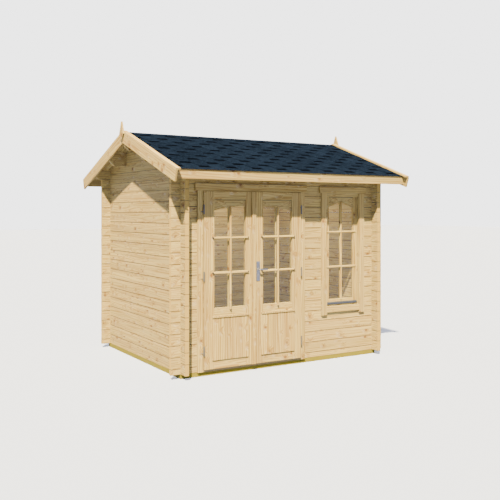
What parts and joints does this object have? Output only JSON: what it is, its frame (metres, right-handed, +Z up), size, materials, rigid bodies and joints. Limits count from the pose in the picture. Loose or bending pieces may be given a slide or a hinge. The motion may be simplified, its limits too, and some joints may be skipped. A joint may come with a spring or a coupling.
{
  "type": "log cabin",
  "caption": "Small garden log cabin with crossed log corners, shingled saddle roof, glazed double doors that swing outwards and a tall fixed window.",
  "frame": {"origin": "on the ground under the middle of the roof's outline, which is the middle of the four walls", "axes": "+X to the right along the front wall and the ridge, +Y from the front to the rear, +Z up"},
  "size_m": [2.962, 2.696, 2.6276],
  "materials": {
    "log_pine": "planed, unpainted",
    "planed_pine": "planed, unpainted",
    "door_pine": "planed, unpainted",
    "treated_beam": "green preservative",
    "shingle": "mineral granules on bitumen",
    "threshold": "dull",
    "zinc": "zinc plated",
    "handle_metal": "satin",
    "sill_sheet": "satin paint",
    "pane": "clear"
  },
  "bodies": {
    "cabin": {"base_beams": "treated_beam", "floor_boards": "log_pine", "front_wall_left": "log_pine", "front_wall_middle": "log_pine", "front_wall_right": "log_pine", "front_wall_low": "log_pine", "front_wall_top": "log_pine", "rear_wall": "log_pine", "left_wall": "log_pine", "right_wall": "log_pine", "left_gable": "log_pine", "right_gable": "log_pine", "purlins": "log_pine", "roof_boards": "log_pine", "roof_shingles": "shingle", "barge_boards": "planed_pine", "barge_caps": "planed_pine", "finials": "planed_pine", "fascias": "planed_pine", "door_frame": "planed_pine", "door_casing": "planed_pine", "window_lining": "planed_pine", "window_casing": "planed_pine", "window_stiles": "planed_pine", "window_rails": "planed_pine", "door_threshold": "threshold", "hinge_pins": "zinc", "window_sill": "sill_sheet", "window_glass": "pane"},
    "left_leaf": {"left_leaf_stiles": "door_pine", "left_leaf_rails": "door_pine", "left_leaf_panels": "door_pine", "left_leaf_glass": "pane", "left_leaf_strip": "door_pine", "left_leaf_hinges": "zinc"},
    "right_leaf": {"right_leaf_stiles": "door_pine", "right_leaf_rails": "door_pine", "right_leaf_panels": "door_pine", "right_leaf_glass": "pane", "right_leaf_hinges": "zinc", "handle_plates": "handle_metal"},
    "lever": {"lever": "handle_metal"}
  },
  "joints": [
    {"name": "left_leaf_hinge", "type": "hinge", "parent": "cabin", "child": "left_leaf", "pos_m": [-1.01107, -1.0435, 1], "axis": [0, 0, -1], "range_deg": [0, 150]},
    {"name": "right_leaf_hinge", "type": "hinge", "parent": "cabin", "child": "right_leaf", "pos_m": [0.17693, -1.0435, 1], "axis": [0, 0, 1], "range_deg": [0, 150]},
    {"name": "lever_turn", "type": "hinge", "parent": "right_leaf", "child": "lever", "pos_m": [-0.37357, -1.016, 1.047], "axis": [0, 1, 0], "range_deg": [0, 40], "stiffness_Nm_per_rad": 1.5, "springref_deg": -20.05}
  ]
}
